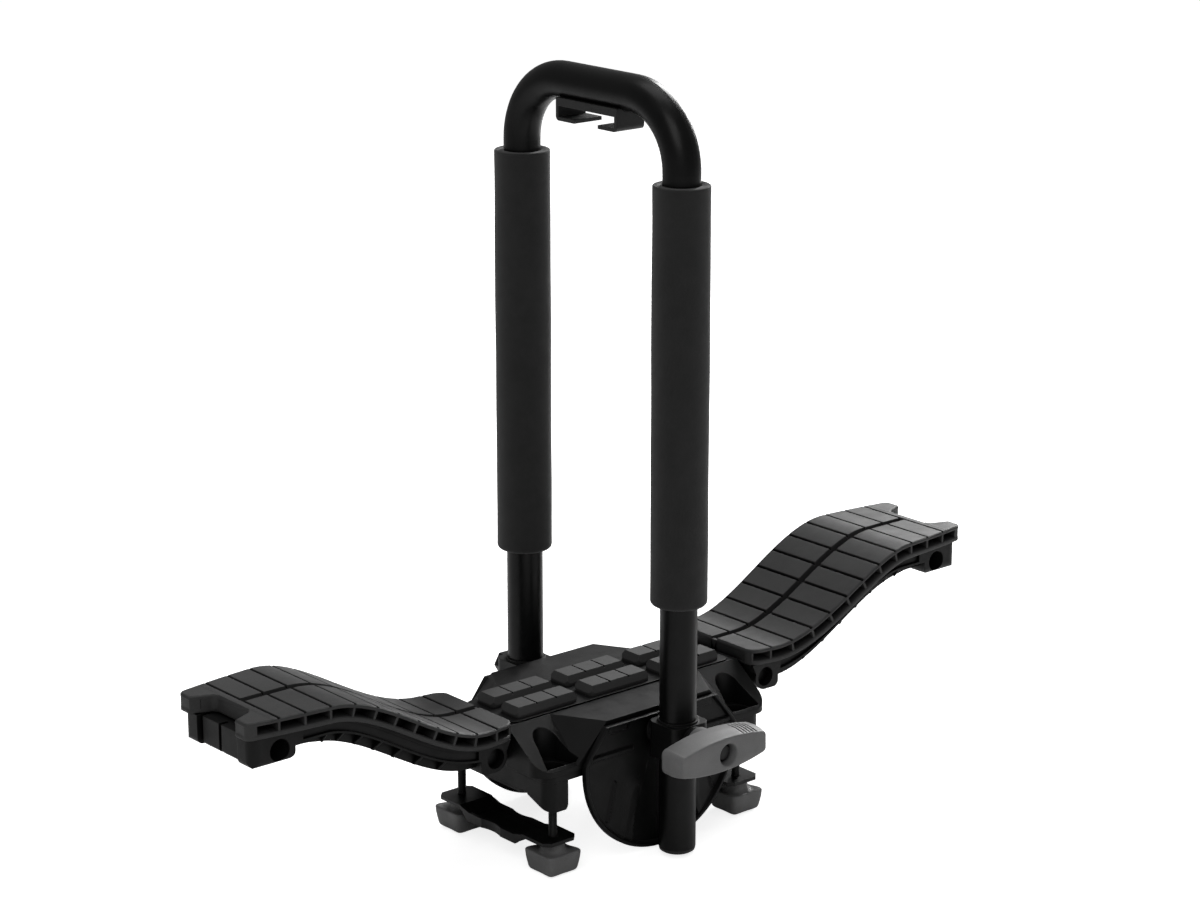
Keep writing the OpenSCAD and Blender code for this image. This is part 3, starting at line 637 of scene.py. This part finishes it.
def gussets(name, body, sign):
    """Thin leaning ribs from a wing frame's flange down to its narrower core."""
    rib_half, rib_drop, bury, before_groove = 0.75, 7.0, 0.5, 4.0
    parts = []
    for groove in STATIONS[5:-4:2]:
        for side in (-1, 1):
            rings = []
            for off in (-rib_half, rib_half):
                x = groove + off - before_groove
                (ax, az), (bx, bz) = under_face(x, FLANGE_T - bury), under_face(x, FLANGE_T + rib_drop)
                rings.append(np.array([(ax, side * (WEB_Y - bury), az), (ax, side * (KNUCKLE_Y - 0.6), az),
                                       (bx, side * (WEB_Y + 0.6), bz), (bx, side * (WEB_Y - bury), bz)]))
            parts.append(loft(rings))
    points, faces = join(*parts)
    return add_piece(name, flip(points, sign), faces, "wing_nylon", body, flat=True)


gussets("left_wing_gussets", "left_wing", -1)
gussets("right_wing_gussets", "right_wing", 1)


# ---------------------------------------------------------------- side shields

# round outline, its flat top and the leaning cuts that join them
SHIELD_R, SHIELD_Z, SHAFT_R = 68.5, 16.0, 5.05
TOP_Z, TOP_HALF, CUT_LEAN = 45.0, 50.0, math.radians(38)
# relief of the face: a sunk field with a ledge across it, an upper block and a boss round the shaft,
# then on each half the facets and a rib: a line as x0, z0, x1, z1, the reach to its side and the height
SUNK, LEDGE_Z, LEDGE_HEIGHT, BLOCK_HEIGHT, BOSS_R = 3.1, 21.5, 2.0, 1.6, 12.0
FACETS = (((-10, 12, -34, -42), 26, 2.9), ((-20, 8, -27, -52), 12, 2.4))
RIB_LINE, RIB_HALF, RIB_HEIGHT = (-40.7, 3, -48.0, -24), 1.4, 1.5


def shield_reach(angle):
    """Distance from the shaft to the shield's outline."""
    direction = np.array([math.cos(angle), math.sin(angle)])
    offset = np.array([0.0, SHAFT_Z - SHIELD_Z])
    along = float(offset @ direction)
    reach = -along + math.sqrt(along ** 2 - (float(offset @ offset) - SHIELD_R ** 2))
    if direction[1] > 0:
        reach = min(reach, (TOP_Z - SHAFT_Z) / direction[1])
    for side in (-1, 1):
        normal = np.array([side * math.cos(CUT_LEAN), math.sin(CUT_LEAN)])
        spot = np.array([side * TOP_HALF, TOP_Z - SHAFT_Z])
        facing = float(direction @ normal)
        if facing > 1e-6:
            reach = min(reach, float(spot @ normal) / facing)
    return reach


def ramp(value, low, high):
    """0 below low, 1 above high, smooth between."""
    t = min(1.0, max(0.0, (value - low) / (high - low)))
    return t * t * (3 - 2 * t)


def line_gap(x, z, x0, z0, x1, z1):
    """Signed distance from a line, and how far along it the point is."""
    length = math.hypot(x1 - x0, z1 - z0)
    ux, uz = (x1 - x0) / length, (z1 - z0) / length
    return (x - x0) * uz - (z - z0) * ux, ((x - x0) * ux + (z - z0) * uz) / length


def shield_relief(x, z, border):
    """How far the shield's face is sunk at a point, given its distance from the border."""
    u = -abs(x)
    sunk = SUNK * ramp(border, 1.6, 3.0)
    ledge = ramp(z, LEDGE_Z, LEDGE_Z + 1) * (1 - ramp(z, LEDGE_Z + 3.5, LEDGE_Z + 4.5)) * ramp(-u, 24, 26)
    sunk -= LEDGE_HEIGHT * ledge * ramp(border, 1.6, 2.6)
    if z < LEDGE_Z:
        for line, width, height in FACETS:
            gap, along = line_gap(u, z, *line)
            if 0 <= gap <= width and along > 0:
                sunk -= height * (1 - gap / width) * ramp(along, 0.0, 0.35) * ramp(border, 1.6, 4.0)
    gap, along = line_gap(u, z, *RIB_LINE)
    if abs(gap) < RIB_HALF and 0 <= along <= 1:
        sunk -= RIB_HEIGHT * (1 - ramp(abs(gap), 0.5, RIB_HALF))
    block = ramp(-u, 29, 30.5) * (1 - ramp(-u, 45.5, 47)) * ramp(z, 38.5, 39.5) * ramp(border, 1.0, 1.8)
    sunk -= BLOCK_HEIGHT * block
    boss = 1 - ramp(math.hypot(x, z - SHAFT_Z), BOSS_R - 1.5, BOSS_R)
    return max(0.0, sunk) * (1 - boss)


def shield(name, node, sign):
    """A plate around the shaft with a relief on its outer face; sign -1 is the front one, facing -Y."""
    inner, outer = 62.0, 66.5
    count, steps, lip = 400, 84, 0.7
    angles = np.linspace(0, 2 * math.pi, count, endpoint=False)
    reach = np.array([shield_reach(a) for a in angles])

    def ring(fraction, inset, y):
        r = SHAFT_R + (reach - inset - SHAFT_R) * fraction
        return np.stack([r * np.cos(angles), np.full(count, y), SHAFT_Z + r * np.sin(angles)], axis=1)

    rings = [ring(0, 0, inner)]
    for fraction in np.linspace(0, 1, steps + 1) ** 0.85:
        flat_ring = ring(fraction, lip, outer)
        border = (1 - fraction) * (reach - SHAFT_R)
        for j, (x, _, z) in enumerate(flat_ring):
            flat_ring[j, 1] = outer - shield_relief(x, z, border[j])
        rings.append(flat_ring)
    rings += [ring(1, 0.2, outer - 0.2), ring(1, 0, outer - lip), ring(1, 0, inner + 0.3),
              ring(1, 0.3, inner), ring(0, 0, inner)]
    points, faces = loft(rings, capped=False)
    peg_r, peg_x, peg_z = 2.4, 40, 24
    peg = [(peg_r, inner - 3), (peg_r, inner + 0.5)]
    pegs = [loft(turned(peg, 24, (x, 0, peg_z), "y")) for x in (-peg_x, peg_x)]
    points, faces = join((points, faces), *pegs)
    points = points * np.array([1, sign, 1])
    obj = add_piece(name, points, faces, "moulded_nylon", "base", node)
    obj.data.set_sharp_from_angle(angle=math.radians(35))
    return obj


shield("front_shield_form", "front_shield", -1)
shield("rear_shield_form", "rear_shield", 1)


# ---------------------------------------------------------------- threads

def threaded_rods(places, z_low, z_high, r, pitch):
    """Rods with a rolled thread, one helix each, the lower end chamfered."""
    parts = []
    per_turn, turns, root, tip = 20, int((z_high - z_low) / pitch), 0.885, 0.82
    angles = np.linspace(0, 2 * math.pi, per_turn, endpoint=False)
    for x, y in places:
        rings = []
        for turn in range(turns):
            for phase in (0.0, 0.30, 0.5, 0.70):
                z = z_low + (turn + phase) * pitch
                height = (phase - angles / (2 * math.pi)) % 1.0
                crest = root + (1 - root) * np.clip(np.abs(2 * height - 1) * 1.6 - 0.35, 0, 1)
                radius = r * crest * (tip + (1 - tip) * min(1.0, (z - z_low) / pitch))
                rings.append(np.stack([x + radius * np.cos(angles), y + radius * np.sin(angles),
                                       np.full(per_turn, z)], axis=1))
        parts.append(loft(rings))
    return parts


def clamp_bolts():
    """Four bolts with round heads and hexagon sockets."""
    low_corner, high_corner = node_box("clamp_bolts")
    bolt_r, head_r, head_h, socket_r, count = 3.0, 6.5, 3.5, 2.5, 48
    bolt_x, bolt_y = high_corner[0] - head_r, high_corner[1] - head_r
    places = [(side_x * bolt_x, side_y * bolt_y) for side_x in (-1, 1) for side_y in (-1, 1)]
    head = high_corner[2] - head_h
    parts = threaded_rods(places, low_corner[2], head, bolt_r, 1.0)
    profile = [(2.9, head - 0.2), (6.3, head), (head_r, head + 0.4), (head_r, head + 2.3),
               (5.9, head + 3.1), (4.4, head + head_h), (2.9, head + head_h)]
    angles = np.linspace(0, 2 * math.pi, count, endpoint=False)
    hexagon = socket_r * math.cos(math.pi / 6) / np.cos((angles % (math.pi / 3)) - math.pi / 6)
    for x, y in places:
        rings = turned(profile, count, (x, y, 0))
        for z in (head + 3.4, head + 1.2):
            rings.append(np.stack([x + hexagon * np.cos(angles), y + hexagon * np.sin(angles),
                                   np.full(count, z)], axis=1))
        parts.append(loft(rings))
    points, faces = join(*parts)
    obj = add_piece("clamp_bolts_form", points, faces, "black_steel", "base", "clamp_bolts")
    obj.data.set_sharp_from_angle(angle=math.radians(40))


clamp_bolts()


# ---------------------------------------------------------------- cover

def deck_panel():
    """A low raised panel in the middle of the cover: rounded corners and a rim undercut by a small cove."""
    half_x, half_y, corner, edge = 99.0, 26.4, 6.0, 0.8
    foot, top = 47.5, 48.9

    def outline(inset, z):
        r = corner - inset
        points = []
        for quadrant, (side_x, side_y) in enumerate(((1, 1), (-1, 1), (-1, -1), (1, -1))):
            for angle in np.linspace(0, math.pi / 2, 9) + quadrant * math.pi / 2:
                points.append((side_x * (half_x - corner) + r * math.cos(angle),
                               side_y * (half_y - corner) + r * math.sin(angle), z))
        return np.array(points)

    rings = [outline(0, foot)] + [outline(run, top - drop) for run, drop in reversed(quarter(edge, 5))]
    points, faces = loft(rings + [outline(edge + 1.5, top)])
    obj = add_piece("cover_deck_panel", points, faces, "moulded_nylon", "base")
    obj.data.set_sharp_from_angle(angle=math.radians(50))


deck_panel()


# ---------------------------------------------------------------- stage, lights, camera

def area_light(name, place, aim, size, power):
    """A soft rectangular light in metres and watts, facing a point."""
    data = bpy.data.lights.new(name, "AREA")
    data.shape = "RECTANGLE"
    data.size, data.size_y = size
    data.energy = power
    light = bpy.data.objects.new(name, data)
    bpy.context.scene.collection.objects.link(light)
    light.location = place
    light.rotation_euler = (Vector(aim) - Vector(place)).to_track_quat("-Z", "Y").to_euler()


def stage():
    """A pale floor and backdrop with three soft lights."""
    world = bpy.data.worlds.new("studio")
    bpy.context.scene.world = world
    world.use_nodes = True
    sky = world.node_tree.nodes["Background"]
    sky.inputs["Color"].default_value = (1, 1, 1, 1)
    seen = world.node_tree.nodes.new("ShaderNodeLightPath").outputs["Is Camera Ray"]
    level = world.node_tree.nodes.new("ShaderNodeMapRange")
    fill_light, backdrop = 0.22, 1.05
    level.inputs["To Min"].default_value = fill_light
    level.inputs["To Max"].default_value = backdrop
    world.node_tree.links.new(seen, level.inputs["Value"])
    world.node_tree.links.new(level.outputs["Result"], sky.inputs["Strength"])
    floor_mesh = bpy.data.meshes.new("floor")
    half = 12.0
    low = cad_low.z - 0.001
    floor_mesh.from_pydata([(-half, -half, low), (half, -half, low), (half, half, low), (-half, half, low)],
                           [], [(0, 1, 2, 3)])
    floor = bpy.data.objects.new("floor", floor_mesh)
    bpy.context.scene.collection.objects.link(floor)
    shade = Shader("floor_paper")
    shade.set("Base Color", shade.blend(shade.noise(3, 2), grey(0.86), grey(0.89)))
    shade.set("Roughness", 0.9)
    seen = shade.node("ShaderNodeLightPath").outputs["Is Camera Ray"]
    shade.set("Emission Color", grey(1.0))
    shade.set("Emission Strength", shade.math("MULTIPLY", seen, 0.80))
    # seen from below, the paper is clear, so that the underside can be looked at
    behind = shade.node("ShaderNodeNewGeometry").outputs["Backfacing"]
    paper = shade.node("ShaderNodeMixShader", {
        0: behind, 1: shade.bsdf.outputs["BSDF"], 2: shade.node("ShaderNodeBsdfTransparent").outputs["BSDF"]})
    shade.tree.links.new(paper.outputs["Shader"], shade.tree.nodes["Material Output"].inputs["Surface"])
    floor_mesh.materials.append(shade.mat)
    area_light("key", (-1.6, -1.5, 2.0), (0, 0, 0.15), (1.6, 1.6), 17)
    area_light("rim", (1.9, 0.9, 1.2), (0, 0, 0.2), (0.7, 1.6), 52)
    area_light("top", (0.1, 0.3, 2.4), (0, 0, 0.1), (1.8, 1.2), 14)


def camera():
    """The main view: its turn about the object, height and lens are fixed here."""
    azimuth, elevation = math.radians(-40.40), math.radians(16.06)
    data = bpy.data.cameras.new("camera")
    data.sensor_width = 36.0
    data.lens = 95.28
    data.clip_end = 50
    cam = bpy.data.objects.new("camera", data)
    bpy.context.scene.collection.objects.link(cam)
    back = Vector((math.sin(azimuth) * math.cos(elevation), -math.cos(azimuth) * math.cos(elevation),
                   math.sin(elevation)))
    cam.location = (-1.3461, -1.5820, 0.8131)
    cam.rotation_euler = back.to_track_quat("Z", "Y").to_euler()
    bpy.context.scene.camera = cam


stage()
camera()
bpy.context.scene.view_settings.view_transform = "Standard"
